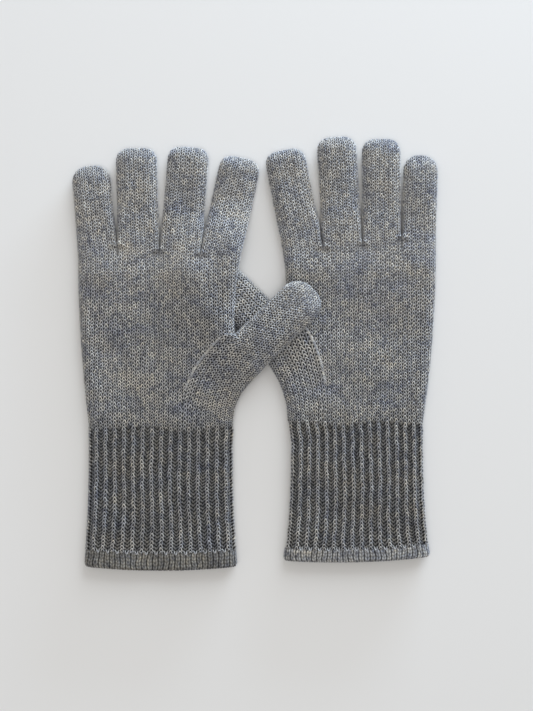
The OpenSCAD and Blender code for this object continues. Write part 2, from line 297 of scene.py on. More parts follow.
def relief(style, k, c):
    """Height of the stitches in mm."""
    if style == "hem":
        return hem_relief(k, c)
    h = loop_height(k, c, LEG_DROP, APEX, YARN)
    if style == "plain":
        return STITCH_HEIGHT * (h - STITCH_ZERO)
    up, deep = raised(k), rib_starts(k, c)
    purl = loop_height(k, c, -PURL_DROP, PURL_APEX, PURL_YARN)
    h = np.where((up < 0.5) & (deep > 0.5), purl, h)
    return STITCH_HEIGHT * (h - STITCH_ZERO) + RIB_DEPTH * deep * (up - 0.8) * (1 - 0.06 * deep)


# ---- surfaces

def half_section(xl, xr, rl, rr, h, lift_left=0.0, n=18):
    """Upper half of a flattened tube, from edge to edge. lift_left from 0 to 1 opens the
    left edge from a closed round to a flat end."""
    f = np.linspace(0, pi / 2, n)
    x = np.concatenate([xl + rl * (1 - np.cos(f)), (xr - rr * (1 - np.cos(f)))[::-1]])
    zl = h * (lift_left + (1 - lift_left) * np.sin(f))
    z = np.concatenate([zl, (h * np.sin(f))[::-1]])
    return x, z


def walk(x, z):
    """Distance along a line of points."""
    return np.concatenate([[0], np.cumsum(np.hypot(np.diff(x), np.diff(z)))])


def around(a, closed=True):
    """Columns of the upper half, then every third one back along the lower half."""
    a = np.array(a)
    low = a[:, ::-1][:, LOW_STEP::LOW_STEP]
    return np.concatenate([a, low[:, :-1] if closed else low], axis=1)


def both_halves(z, closed=True):
    """Heights of the upper half, then of the lower half, which mirrors it."""
    full = around(z, closed)
    full[:, len(z[0]):] *= -1
    return full


def inner_columns(cols, closed=True):
    """Which of those columns the plain inner face uses; cols counts the upper ones."""
    m = cols - 1
    top = np.arange(0, m + 1, PER_WALE)
    step = PER_WALE // LOW_STEP
    low = m + np.arange(step, m // LOW_STEP + (0 if closed else 1), step)
    return np.concatenate([top, low])


def crotches(g):
    """Corners between the fingers, in the hand frame."""
    edges = finger_edges(g)
    return [(edges[name][1], g.knuckle + up) for name, up in CROTCH_RISE.items()]


def knuckle_swell(g, y):
    """Low bulge that runs across the hand below the knuckles."""
    return 0.7 * np.exp(-((y - g.knuckle + 12) / 8.5) ** 2)


def pucker(across, below):
    """Crease that runs out sideways from a crotch, under a soft bulge of the finger."""
    line = below - 0.35 * np.abs(across)
    crease = np.exp(-((line - 0.4) / 0.8) ** 2)
    bulge = np.exp(-((line + 1.9) / 1.3) ** 2)
    return (1.1 * bulge - 1.3 * crease) * np.exp(-(across / 3.2) ** 2)


def place(g, x, y, z):
    """Points in the hand frame from plan x, y and height above the middle of the knit."""
    f = z / HALF
    z = np.where(f > 0, SAG + f * (HALF - SAG), SAG + f * (HALF + SAG))
    up = np.clip(f, 0, 1)
    lift = SWELL * swell(x + 40 * g.side, y) + knuckle_swell(g, y)
    for cx, cy in crotches(g):
        r2 = (x - cx) ** 2 + (y - cy + 1.0) ** 2
        lift = lift - 1.1 * np.exp(-r2 / 6.0) + pucker(x - cx, cy - y)
    z = z + lift * up + HALF
    if g.side == LEFT:
        z = z + rise(x, y)
    return np.stack([x, y, z], axis=-1)


def normals(p, ring):
    """Outward directions at a grid of points; ring closes it sideways."""
    if ring:
        du = np.roll(p, -1, axis=1) - np.roll(p, 1, axis=1)
    else:
        du = np.gradient(p, axis=1)
    dv = np.gradient(p, axis=0)
    n = np.cross(du, dv)
    return n / np.maximum(np.linalg.norm(n, axis=-1, keepdims=True), 1e-9)


def knuckle_k(g):
    """Plan x of the line between ring and middle finger, where k is 0."""
    f = g.fingers
    outer = f["ring"][0] - f["ring"][2] / 2
    inner = f["middle"][0] + f["middle"][2] / 2
    return -(outer + inner) / 2


def finger_edges(g):
    """Plan x where each finger begins and ends at the knuckle line, outermost first."""
    f = g.fingers
    cuts = [-g.outer_knuckle]
    for a, b in (("little", "ring"), ("ring", "middle"), ("middle", "index")):
        cuts.append(-(f[a][0] - f[a][2] / 2 + f[b][0] + f[b][2] / 2) / 2)
    cuts.append(-g.inner_knuckle)
    return dict(zip(("little", "ring", "middle", "index"), zip(cuts, cuts[1:])))


def outer_edge(g, y):
    """Plan x of the hand's edge on the side of the little finger."""
    t = (y - g.wrist) / (g.knuckle - g.wrist)
    return -mix(g.outer_wrist, g.outer_knuckle, 1 - (1 - t) ** 2)


def inner_edge(g, y):
    """Plan x of the hand's edge on the side of the thumb."""
    cx, cy = g.corner
    t = np.clip((y - cy) / (g.knuckle - cy), 0, 1)
    high = mix(cx, -g.inner_knuckle, t * t) - 0.8 * np.sin(pi * t)
    low = mix(-g.inner_wrist, cx, np.clip((y - g.wrist) / (cy - g.wrist), 0, 1))
    return np.where(y >= cy, high, low)


def gusset_line(g, t):
    """Line where the gusset leaves the palm, from the wrist (0) to the corner (1)."""
    cx, cy = g.corner
    return curve([(-g.line_wrist, g.wrist), (-g.line_wrist - 1, g.wrist + 32),
                  (cx - 17, cy - 12), (cx - EDGE, cy)], t)


def gusset_edge(g, t):
    """Outer edge of the gusset, from the wrist (0) to the heel of the thumb (1)."""
    heel = g.corner + g.across * g.thumb_width
    w = -g.inner_wrist
    return curve([(w, g.wrist), (w, g.wrist + 20),
                  (mix(heel[0], w, 0.45), heel[1] - 11), tuple(heel)], t)


def line_at(g, y):
    """Plan x of the gusset line at height y."""
    x, at = gusset_line(g, np.linspace(0, 1, 200)).T
    return np.interp(y, at, x)


def course_of(g, y):
    """Course number of the hand at height y; 0 is the wrist."""
    return (y - g.wrist) / COURSE


INNER_WALES = 18  # wales from the middle of the hand to its inner edge
WRIST_PITCH = (2.88, 2.74)  # width of a wale at the wrist of each glove
HAND_WALES = (-15, 14)  # these follow the pitch; the edges take up the rest


def wale_pitch(g, y):
    """Width of a wale of the hand at height y."""
    top = (-g.inner_knuckle - knuckle_k(g)) / INNER_WALES
    t = (y - g.wrist) / (g.knuckle - g.wrist)
    return mix(WRIST_PITCH[g.side], top, ease(t * 1.2 - 0.2))


def stations(marks, counts):
    """Numbers that run through the marks, with a count of even steps from each to the next."""
    parts = [np.linspace(a, b, n + 1)[:-1] for a, b, n in zip(marks, marks[1:], counts)]
    return np.concatenate(parts + [marks[-1:]])


def hand_surface(g):
    """The palm and back, a tube with an opening on the thumb side for the gusset."""
    xc = knuckle_k(g)
    n_rows = int(round((g.knuckle - g.wrist) / COURSE)) * PER_COURSE
    y = np.linspace(g.wrist, g.knuckle, n_rows + 1)
    first = int(np.searchsorted(y, g.corner[1]))
    first -= first % PER_COURSE
    k_lo, k_hi = HAND_WALES
    counts = (4 * PER_WALE, (k_hi - k_lo) * PER_WALE, 5 * PER_WALE)
    xs, zs, ks = [], [], []
    for i, yy in enumerate(y):
        pitch = wale_pitch(g, yy)
        px, pz = half_section(outer_edge(g, yy), float(inner_edge(g, yy)), EDGE, EDGE, HALF)
        s = walk(px, pz)
        s = s - np.interp(xc, px, s)
        s_hi = k_hi * pitch
        if i < first:
            s_hi = min(s_hi, np.interp(line_at(g, yy), px, s))
        at = stations([s[0], k_lo * pitch, s_hi, s[-1]], counts)
        xs.append(np.interp(at, s, px))
        zs.append(np.interp(at, s, pz))
        ks.append(at / pitch)
    last = sum(counts)
    hole_from = counts[0] + counts[1]
    hole_to = last + (last - hole_from) // LOW_STEP
    k, x, z = around(ks), around(xs), both_halves(zs)
    y = np.repeat(y[:, None], x.shape[1], axis=1)
    hole = (first, hole_from, hole_to)
    return place(g, x, y, z), k, course_of(g, y), inner_columns(last + 1), hole


def gusset_wales(g):
    """k at the palm side and at the outer edge of the gusset."""
    xc, pitch = knuckle_k(g), wale_pitch(g, g.wrist)
    k_a = (-g.line_wrist - xc) / pitch
    x, z = half_section(-g.line_wrist, -g.inner_wrist, 0.01, EDGE, HALF, 1.0)
    return k_a, k_a + walk(x, z)[-1] / pitch


GUSSET_COURSES = 30
GUSSET_COLUMNS = 12 * PER_WALE


def even_steps(points, n):
    """n points evenly spaced along a line of points."""
    s = walk(points[:, 0], points[:, 1])
    at = np.linspace(0, s[-1], n)
    return np.stack([np.interp(at, s, points[:, 0]), np.interp(at, s, points[:, 1])], axis=-1)


def gusset_surface(g):
    """The gusset runs along the palm, closes around the corner, and meets the thumb."""
    rows = GUSSET_COURSES * PER_COURSE
    fine = np.linspace(0, 1, 400)
    corner = np.array(g.corner)
    palm_side = even_steps(np.concatenate([gusset_line(g, fine), corner[None]]), rows + 1)
    outside = even_steps(gusset_edge(g, fine), rows + 1)
    past = np.where(palm_side[:, 1] > corner[1] - 0.05, palm_side[:, 0] - (corner[0] - EDGE), 0.0)
    shut = 1 - np.sqrt(1 - np.clip(past / EDGE, 0, 1) ** 2)
    xs, ys, zs = [], [], []
    for a, e, m in zip(palm_side, outside, shut):
        d = e - a
        length = np.linalg.norm(d)
        d = d / length
        px, pz = half_section(0.0, length, EDGE * m + 0.01, EDGE, HALF, 1 - m)
        s = walk(px, pz)
        at = np.linspace(0, s[-1], GUSSET_COLUMNS + 1)
        ax = np.interp(at, s, px)
        xs.append(a[0] + d[0] * ax)
        ys.append(a[1] + d[1] * ax)
        zs.append(np.interp(at, s, pz))
    k = np.linspace(*gusset_wales(g), GUSSET_COLUMNS + 1)
    k = around(np.repeat(k[None], rows + 1, axis=0), False)
    x, y, z = around(xs, False), around(ys, False), both_halves(zs, False)
    c = np.linspace(0, 1, rows + 1) * GUSSET_COURSES
    c = np.repeat(c[:, None], k.shape[1], axis=1)
    return place(g, x, y, z), k, c, inner_columns(GUSSET_COLUMNS + 1, False)


TUBE_EDGE = 7.6  # edge rounding of a finger
CLOSE_TO = 20.0  # neighbouring fingers lie close together this far up
CLEAR = 0.3  # and stay this far from the line between them
MERGE = 12.0  # length over which the wales of the hand become those of the finger
TIP_RINGS = 26
TIP_SHUT = 16  # the inner face ends at this ring of the tip


def tube_rings(straight, corner, square):
    """Places along a tube, and its relative width and thickness there: even steps up to
    straight, then round the tip. A higher square makes a blunter tip."""
    n = int(round(straight / (FINGER_COURSE / PER_COURSE)))
    phi = np.linspace(0, 1, TIP_RINGS) ** 0.9 * radians(86)
    v = np.linspace(-LAP, straight, n, endpoint=False)
    v_tip = straight + corner * np.sin(phi) ** (2 / square)
    w_tip = np.cos(phi) ** (2 / square)
    h_tip = np.maximum(np.cos(phi) ** 1.05, 0.1)
    one = np.ones(n)
    return [np.concatenate(p) for p in ((v, v_tip), (one, w_tip), (one, h_tip))]


def side_shape(v, length, half_base, half_tip, slope, joined):
    """Half width of a tube at v on one side, and the rounding of its edge. slope and
    joined are that side's lean and crotch; see tube_surface."""
    if slope is None:
        width = mix(half_base, half_tip, ease(v / (0.45 * length)))
        return width, mix(EDGE, TUBE_EDGE, ease(v / 15))
    apart = CLEAR * ease((v - joined) / 5)
    width = half_base + slope * min(v, CLOSE_TO) - apart
    width = mix(width, half_tip, ease((v - CLOSE_TO / 2) / (0.3 * length)))
    tight = mix(0.7, 1.8, ease((v - joined) / 6))
    return width, mix(tight, TUBE_EDGE, ease((v - joined - 8) / 24))


def tube_surface(g, base, tip, u0, half_base, half_tip, k_base, k_own, pitch, c0,
                 crotch=(0.0, 0.0), lean=(None, None), corner=7.5, square=2.7):
    """Finger or thumb: rings from base to tip. crotch is how far up the left and right
    sides it stays joined to its neighbours. lean is how much wider a side has to grow,
    for each mm up, to go on touching its neighbour; None on a side without one."""
    base, tip = np.array(base, float), np.array(tip, float)
    length = float(np.linalg.norm(tip - base))
    d = (tip - base) / length
    cross = np.array([d[1], -d[0]])
    straight = length - corner
    rings = tube_rings(straight, corner, square)
    counts = (3 * PER_WALE, 6 * PER_WALE, 3 * PER_WALE)
    xs, ys, zs, ks = [], [], [], []
    for v, wide, thick in zip(*rings):
        sides = [side_shape(v, length, half_base, half_tip, *side) for side in zip(lean, crotch)]
        halves = [w if wide == 1 else half_tip - corner * (1 - wide) for w, _ in sides]
        rounds = [min(r, max(w * 0.96, 0.3)) for w, (_, r) in zip(halves, sides)]
        u = mix(np.array(u0, float), cross, min(1.0, v / (0.5 * length)))
        u = u / np.linalg.norm(u)
        px, pz = half_section(-halves[0], halves[1], *rounds, HALF * thick)
        s = walk(px, pz)
        s = s - np.interp(0.0, px, s)
        p_here = mix(pitch[0], pitch[1], ease(v / MERGE))
        locked = stations([s[0], -3 * p_here, 3 * p_here, s[-1]], counts)
        even = np.linspace(s[0], s[-1], sum(counts) + 1)
        at = mix(locked, even, ease((v - (straight - 8)) / 8))
        ax = np.interp(at, s, px)
        o = base + d * v
        xs.append(o[0] + u[0] * ax)
        ys.append(o[1] + u[1] * ax)
        zs.append(np.interp(at, s, pz))
        ks.append(mix(k_base, k_own, ease(v / MERGE)) + at / p_here)
    x, y, z, k = around(xs), around(ys), both_halves(zs), around(ks)
    down = walk(rings[0], HALF * rings[2])
    c = c0 + np.repeat(((down - LAP) / FINGER_COURSE)[:, None], x.shape[1], axis=1)
    columns = inner_columns(sum(counts) + 1)
    return place(g, x, y, z), k, c, columns, len(down) - TIP_RINGS + TIP_SHUT


def finger_slant(g, name):
    """How far a finger leans sideways for each mm up."""
    lo, hi = finger_edges(g)[name]
    return (-g.fingers[name][1] - (lo + hi) / 2) / (g.tips[name] - g.knuckle)


def finger_surface(g, name):
    """One finger, from the knuckle line to its tip."""
    _, across_tip, wide = g.fingers[name]
    lo, hi = finger_edges(g)[name]
    base = ((lo + hi) / 2, g.knuckle)
    tip = (-across_tip, g.tips[name])
    pitch0 = wale_pitch(g, g.knuckle)
    n_wales = 8 if name == "little" and g.side == RIGHT else 9
    start = {"index": 9, "middle": 0, "ring": -9, "little": -9 - n_wales}[name]
    nth = ORDER.index(name)
    after = ORDER[nth - 1] if nth > 0 else None
    before = ORDER[nth + 1] if nth < 3 else None
    lean = [None, None]
    if before:
        lean[0] = (finger_slant(g, name) - finger_slant(g, before)) / 2
    if after:
        lean[1] = (finger_slant(g, after) - finger_slant(g, name)) / 2
    corner, square = (10.0, 2.15) if name == "little" else (9.0, 2.4)
    return tube_surface(
        g, base, tip, (1, 0), (hi - lo) / 2 - 0.08, wide / 2,
        (base[0] - knuckle_k(g)) / pitch0, start + n_wales / 2, (pitch0, (hi - lo) / n_wales),
        course_of(g, g.knuckle), lean=lean,
        crotch=(CROTCH_RISE.get(before, 0.0), CROTCH_RISE.get(name, 0.0)),
        corner=corner, square=square)


def thumb_surface(g):
    """The thumb, from the end of the gusset to its tip."""
    base = g.corner + g.across * g.thumb_width / 2
    tip = base + g.toward * g.thumb_length
    k_a, k_e = gusset_wales(g)
    x, z = half_section(0, g.thumb_width, EDGE, EDGE, HALF)
    pitch = walk(x, z)[-1] / (k_e - k_a)
    half = g.thumb_width / 2
    return tube_surface(g, base, tip, tuple(g.across), half, half * 0.985,
                        (k_a + k_e) / 2, (k_a + k_e) / 2, (pitch, pitch), GUSSET_COURSES,
                        corner=12.0, square=2.0)


def cuff_wales(g):
    """k at the outer and inner edge of the cuff."""
    xc, pitch = knuckle_k(g), wale_pitch(g, g.wrist)
    x, z = half_section(-g.outer_wrist, -g.inner_wrist, EDGE, EDGE, HALF)
    s = walk(x, z)
    s = s - np.interp(xc, x, s)
    return s[0] / pitch, s[-1] / pitch


def cuff_rows(g, y, h, inset):
    """Rings of the cuff or hem at heights y, with half thickness h and plan inset."""
    top = CUFF_WALES * PER_WALE
    k_l, k_r = cuff_wales(g)
    drop = g.wrist - y
    t = np.clip(drop / (g.wrist - g.hem), 0, 1.3)
    blend = ease(drop / 14)
    wide = g.flare * t**3 * 0.75
    left = -mix(g.outer_wrist, g.cuff_outer, blend) - wide + inset
    right = -mix(g.inner_wrist, g.cuff_inner, blend) + wide - inset
    xs, ys, zs = [], [], []
    for xl, xr, yy, hh, tt in zip(left, right, y, h, t):
        px, pz = half_section(xl, xr, EDGE, EDGE, hh)
        s = walk(px, pz)
        at = np.linspace(0, s[-1], top + 1)
        x = np.interp(at, s, px)
        u = (x - (xl + xr) / 2) / ((xr - xl) / 2)
        sway = 0.45 * np.sin(yy * 0.105 + 2.3 * u + g.side) * (1 - u * u) * min(1, tt * 3)
        xs.append(x + sway)
        zs.append(np.interp(at, s, pz))
        bend = ease(tt * 1.1)
        ys.append(yy - bend * (g.bow * (0.55 - u * u) + g.tilt * u))
    k = around(np.repeat(np.linspace(k_l, k_r, top + 1)[None], len(y), axis=0))
    c = np.repeat(((y - g.wrist) / RIB_COURSE)[:, None], k.shape[1], axis=1)
    points = place(g, around(xs), around(ys), both_halves(zs))
    return points, k, c, inner_columns(top + 1)


def cuff_surface(g):
    """The ribbed cuff, from the hem to the wrist."""
    n = int(round((g.wrist - g.hem) / RIB_COURSE)) * PER_COURSE
    y = np.linspace(g.hem, g.wrist + LAP, n + 1)
    return cuff_rows(g, y, np.full(n + 1, HALF), np.zeros(n + 1))


HEM_WALES = 0.9  # the hem has nine wales for ten of the cuff


def hem_surface(g):
    """The welt at the end of the cuff, turned in at its lip."""
    n = 30
    lip = 1.4
    deep = g.hem - g.end
    bow = g.bow * 0.5
    f = np.linspace(radians(88), 0, 9)[:-1]
    y_lip = g.end + bow + lip * (1 - np.sin(f))
    h_lip = HALF - lip * (1 - np.cos(f))
    y_up = np.linspace(g.end + bow + lip, g.hem, n)
    y = np.concatenate([y_lip, y_up])
    h = np.concatenate([h_lip, np.full(n, HALF)]) + 0.15
    h = h - 0.45 * ease((y - (g.hem - 1.6)) / 1.6)
    near = np.clip((g.end + 4 - y) / 4, 0, 1)
    points, k, c, columns = cuff_rows(g, y, h, 2.6 * near**2)
    return points, k * HEM_WALES, c, columns


# ---- meshes

LOWEST_OUTER = 0.04  # the knit stays this far above the table
LOWEST_INNER = 0.3
UV_WALES = 200.0  # added to the wales of the right glove in the UVs
UV_COURSES = 100.0  # added to the courses in the UVs, so that this is the wrist


def add_object(name, data):
    """New object in the scene."""
    obj = bpy.data.objects.new(name, data)
    bpy.context.scene.collection.objects.link(obj)
    return obj


def add_mesh(name, verts, faces, uv=None, flat=()):
    """Mesh object. flat lists the faces that are not shaded smooth."""
    mesh = bpy.data.meshes.new(name)
    mesh.from_pydata(verts, [], faces)
    smooth = np.ones(len(faces), bool)
    smooth[list(flat)] = False
    mesh.polygons.foreach_set("use_smooth", smooth)
    if uv is not None:
        layer = mesh.uv_layers.new(name="knit")
        loops = np.empty(len(mesh.loops), dtype=np.int32)
        mesh.loops.foreach_get("vertex_index", loops)
        layer.data.foreach_set("uv", np.ascontiguousarray(uv[loops], dtype=np.float32).ravel())
    mesh.update()
    return add_object(name, mesh)


def numbering(start, width, ring):
    """Function that gives the vertex in row i and column j of a grid."""
    def index(i, j):
        return start + i * width + (j % width if ring else j)
    return index


def grid_faces(index, rows, cols, ring, cut):
    """Faces of a grid. cut is the end row, first column and end column of a hole in it."""
    cells = cols if ring else cols - 1
    i, j = np.meshgrid(np.arange(rows - 1), np.arange(cells), indexing="ij")
    keep = np.ones(i.shape, bool)
    if cut:
        keep &= ~((i < cut[0]) & (j >= cut[1]) & (j < cut[2]))
    i, j = i[keep], j[keep]
    return np.stack([index(i, j), index(i, j + 1), index(i + 1, j + 1), index(i + 1, j)], 1)


def rim_faces(o, q, ri, cj, cols, ring, hole, cut, open_end):
    """Faces across the wall, at the open ends and around the hole. o and q number the
    outer and inner vertices; ri and cj are the outer rows and columns of the inner ones."""
    faces = []

    def across(line, back, forward):
        faces.append(line + back[::-1] if forward else line[::-1] + back)

    def along_row(i, ii, cells, forward):
        for jj in cells:
            end = cj[jj + 1] if jj + 1 < len(cj) else cols
            line = [o(i, j) for j in range(cj[jj], end + 1)]
            across(line, [q(ii, jj), q(ii, jj + 1)], forward)

    def along_column(j, jj, cells, forward):
        for ii in cells:
            line = [o(i, j) for i in range(ri[ii], ri[ii + 1] + 1)]
            across(line, [q(ii, jj), q(ii + 1, jj)], forward)

    cells = range(len(cj) if ring else len(cj) - 1)
    if hole:
        gap = range(cut[1], cut[2])
        along_row(0, 0, [j for j in cells if j not in gap], False)
        along_row(hole[0], cut[0], gap, False)
        along_column(hole[1], cut[1], range(cut[0]), False)
        along_column(hole[2], cut[2], range(cut[0]), True)
    else:
        along_row(0, 0, cells, False)
    if not ring:
        along_column(0, 0, range(len(ri) - 1), True)
        along_column(cols - 1, len(cj) - 1, range(len(ri) - 1), False)
    if open_end:
        along_row(ri[-1], len(ri) - 1, cells, True)
    return faces


def shell(g, name, points, k, c, columns, style, ring=True, hole=None, tip_row=None):
    """A piece of knit with a real wall: outer face with stitches, plain inner face, and
    rims at its open ends. tip_row closes the far end: the inner face stops there."""
    rows, cols = points.shape[:2]
    n = normals(points, ring)
    k, c = unevenness(k, c)
    depth = relief(style, k, c)
    depth = np.where(n[..., 2] < -0.3, depth * 0.5 - 0.1, depth)
    outer = points + n * depth[..., None]
    outer[..., 2] = np.maximum(outer[..., 2], LOWEST_OUTER)
    last = rows - 1 if tip_row is None else tip_row
    ri = np.arange(0, last + 1, PER_COURSE)
    if tip_row is None and ri[-1] != last:
        ri = np.append(ri, last)
    cj = np.array(columns)
    inner = (points - n * WALL)[np.ix_(ri, cj)]
    inner[..., 2] = np.maximum(inner[..., 2], LOWEST_INNER)
    verts = np.concatenate([outer.reshape(-1, 3), inner.reshape(-1, 3)])

    o = numbering(0, cols, ring)
    q = numbering(rows * cols, len(cj), ring)
    cut = (hole[0] // PER_COURSE, *np.searchsorted(cj, hole[1:])) if hole else None
    faces = grid_faces(o, rows, cols, ring, hole).tolist()
    faces += grid_faces(q, len(ri), len(cj), ring, cut)[:, ::-1].tolist()
    first_rim = len(faces)
    faces += rim_faces(o, q, ri, cj, cols, ring, hole, cut, tip_row is None)
    rims = range(first_rim, len(faces))
    if tip_row is not None:
        faces += zip_shut(o, rows - 1, cols, cols * 3 // 4, LOW_STEP, True)
        faces += zip_shut(q, len(ri) - 1, len(cj), len(cj) // 2, 1, False)
    if g.side == RIGHT:
        verts = verts * (-1, 1, 1)
        faces = [f[::-1] for f in faces]
    kc = np.stack([k + UV_WALES * g.side, c + UV_COURSES], -1)
    uv = np.concatenate([kc.reshape(-1, 2), kc[np.ix_(ri, cj)].reshape(-1, 2)])
    return add_mesh(name, verts * MM, faces, uv, rims)


def zip_shut(index, row, count, top, step, outward):
    """Faces that join the upper columns 0-top of the last row to the lower ones."""
    faces = []
    for j in range(0, top, step):
        upper = [index(row, j + n) for n in range(step + 1)]
        lower = [index(row, (count - m) % count) for m in (j // step + 1, j // step)]
        face = list(dict.fromkeys(upper + lower))
        faces.append(face if outward else face[::-1])
    return [f for f in faces if len(f) > 2]


def taper(i, n):
    """Thickness of a strand of n rings at ring i: 1 but for its rounded ends."""
    return sin(pi * (min(i + 0.6, n - i - 0.4, 3) / 3 / 2))


def cord_mesh(name, paths, radius, sides=8):
    """Closed round tubes along paths, joined in one mesh."""
    verts, faces, uv = [], [], []
    for path in paths:
        path = np.array(path, float)
        n = len(path)
        t = np.gradient(path, axis=0)
        t /= np.linalg.norm(t, axis=1, keepdims=True)
        a = np.cross(t, (0, 0, 1.0))
        a /= np.maximum(np.linalg.norm(a, axis=1, keepdims=True), 1e-6)
        b = np.cross(a, t)
        start = len(verts)
        walked = np.concatenate([[0], np.cumsum(np.linalg.norm(np.diff(path, axis=0), axis=1))])
        for i in range(n):
            for j in range(sides):
                f = 2 * pi * j / sides
                out = (a[i] * cos(f) + b[i] * sin(f)) * radius * taper(i, n)
                verts.append(path[i] + out)
                uv.append((j / sides, walked[i] / 2.0))
        ring = numbering(start, sides, True)
        faces += grid_faces(ring, n, sides, True, None).tolist()
        faces.append([ring(0, j) for j in range(sides)][::-1])
        faces.append([ring(n - 1, j) for j in range(sides)])
    return add_mesh(name, np.array(verts) * MM, faces, np.array(uv))


def mirrored(g, x, y, z):
    """Point of the hand frame in the frame of the pair."""
    return (x if g.side == LEFT else -x, y, z)


def on_top(g, x, y, up):
    """Point at height up above the top of the knit, in the frame of the pair."""
    top = place(g, np.float64(x), np.float64(y), np.float64(HALF))
    return mirrored(g, x, y, float(top[2]) + up)


RIDGE_LIFT = (-0.3, -0.12)  # height of the chain above the knit on each glove
RIDGE_SPAN = (0.26, 0.93)  # the part of the gusset line that it covers
RIDGE_TURNS = 27


def ridge(g):
    """Chain of picked-up stitches along the gusset line: two strands, twisted."""
    strands = []
    for phase in (0, 0.5):
        path = []
        for t in np.linspace(*RIDGE_SPAN, 150):
            p = gusset_line(g, t)
            q = gusset_line(g, t + 0.01) - p
            side_way = np.array([q[1], -q[0]]) / np.linalg.norm(q)
            turn = 2 * pi * (t * RIDGE_TURNS + phase)
            p = p + side_way * (0.42 * sin(turn) - 0.3)
            up = RIDGE_LIFT[g.side] + 0.26 * cos(turn)
            path.append(on_top(g, p[0], p[1], up))
        strands.append(path)
    return cord_mesh(g.name + "_gusset_ridge_stitches", strands, 0.4)


def joins(g):
    """Short bridging stitches that close the corners between the fingers."""
    paths = []
    for x, y in crotches(g):
        for dy, span, slant, up in ((0.8, 1.5, -0.5, -0.95), (-0.6, 2.1, 0.5, -1.25)):
            path = []
            for s in np.linspace(-1, 1, 13):
                arch = 1 - s * s
                py = y + dy - 0.9 * arch + slant * s
                path.append(on_top(g, x + s * span, py, up + 0.6 * arch))
            paths.append(path)
    return cord_mesh(g.name + "_crotch_stitches", paths, TRIM_YARN)


def hem_loops(g):
    """A small loop of yarn at the foot of each sunken wale, where the hem is joined on."""
    y = g.hem + np.array([-0.7, 1.6])
    points, k, _, _ = cuff_rows(g, y, np.full(2, HALF), np.zeros(2))
    top = CUFF_WALES * PER_WALE + 1
    k_row = k[0, :top]
    low, high = points[:, :top]
    paths = []
    wales = range(ceil(k_row[0]) + 2, floor(k_row[-1]) - 2)
    for n in [n for n in wales if n % 2]:
        path = []
        for s in np.linspace(-1, 1, 11):
            at = n + 0.5 + 0.36 * s
            a, b = np.array([[np.interp(at, k_row, u) for u in row.T] for row in (low, high)])
            p = mix(a, b, s * s)
            p[2] += mix(0.28, -0.7, s * s)
            path.append(mirrored(g, *p))
        paths.append(path)
    return cord_mesh(g.name + "_hem_loops", paths, TRIM_YARN)


# ---- materials

class Graph:
    """Short way to write a node tree."""

    def __init__(self, name):
        self.material = bpy.data.materials.new(name)
        self.material.use_nodes = True
        self.tree = self.material.node_tree
        self.tree.nodes.clear()

    def put(self, socket, value):
        """Link a socket to another one, or set its value."""
        if isinstance(value, bpy.types.NodeSocket):
            self.tree.links.new(value, socket)
        else:
            socket.default_value = value

    def node(self, kind, settings=None, **inputs):
        """A node. Its inputs are given by name, or as i0, i1 and so on."""
        node = self.tree.nodes.new("ShaderNode" + kind)
        for key, value in (settings or {}).items():
            setattr(node, key, value)
        for key, value in inputs.items():
            by_number = key[0] == "i" and key[1:].isdigit()
            self.put(node.inputs[int(key[1:]) if by_number else key.replace("_", " ")], value)
        return node

    def math(self, operation, a, b=0.0, c=0.0):
        return self.node("Math", {"operation": operation}, i0=a, i1=b, i2=c).outputs[0]

    def plus(self, a, b):
        return self.math("ADD", a, b)

    def minus(self, a, b):
        return self.math("SUBTRACT", a, b)

    def times(self, a, b):
        return self.math("MULTIPLY", a, b)

    def between(self, a, b, part):
        """a where part is 0 and b where it is 1."""
        return self.plus(self.times(a, self.minus(1.0, part)), self.times(b, part))

    def vector(self, x, y, z=0.0):
        return self.node("CombineXYZ", i0=x, i1=y, i2=z).outputs[0]

    def mix(self, fac, a, b, blend="MIX"):
        node = self.node("Mix", {"data_type": "RGBA", "blend_type": blend}, i0=fac)
        for i, value in ((6, a), (7, b)):
            self.put(node.inputs[i], (*value, 1) if isinstance(value, tuple) else value)
        return node.outputs[2]

    def ramp(self, value, stops):
        node = self.node("ValToRGB", i0=value)
        band = node.color_ramp
        while len(band.elements) < len(stops):
            band.elements.new(0.5)
        for element, (at, colour) in zip(band.elements, stops):
            element.position = at
            element.color = (*colour, 1)
        return node.outputs[0]

    def remap(self, value, a, b, c, d, kind="LINEAR"):
        return self.node("MapRange", {"interpolation_type": kind},
                         i0=value, i1=a, i2=b, i3=c, i4=d).outputs[0]

    def noise(self, where, scale, detail, roughness, distortion=0.0):
        return self.node("TexNoise", Vector=where, Scale=scale, Detail=detail,
                         Roughness=roughness, Distortion=distortion).outputs

    def finish(self, shader):
        """Connect the shader to the output and return the material."""
        self.tree.links.new(shader.outputs[0], self.node("OutputMaterial").inputs[0])
        return self.material

    def tint(self, part, colour, by):
        """The colour multiplied by another, as far as part says."""
        return self.mix(part, colour, by, "MULTIPLY")

    def shade(self, part, colour, value):
        """The colour multiplied by a value, as far as part says."""
        grey = self.node("CombineColor", i0=value, i1=value, i2=value).outputs[0]
        return self.tint(part, colour, grey)


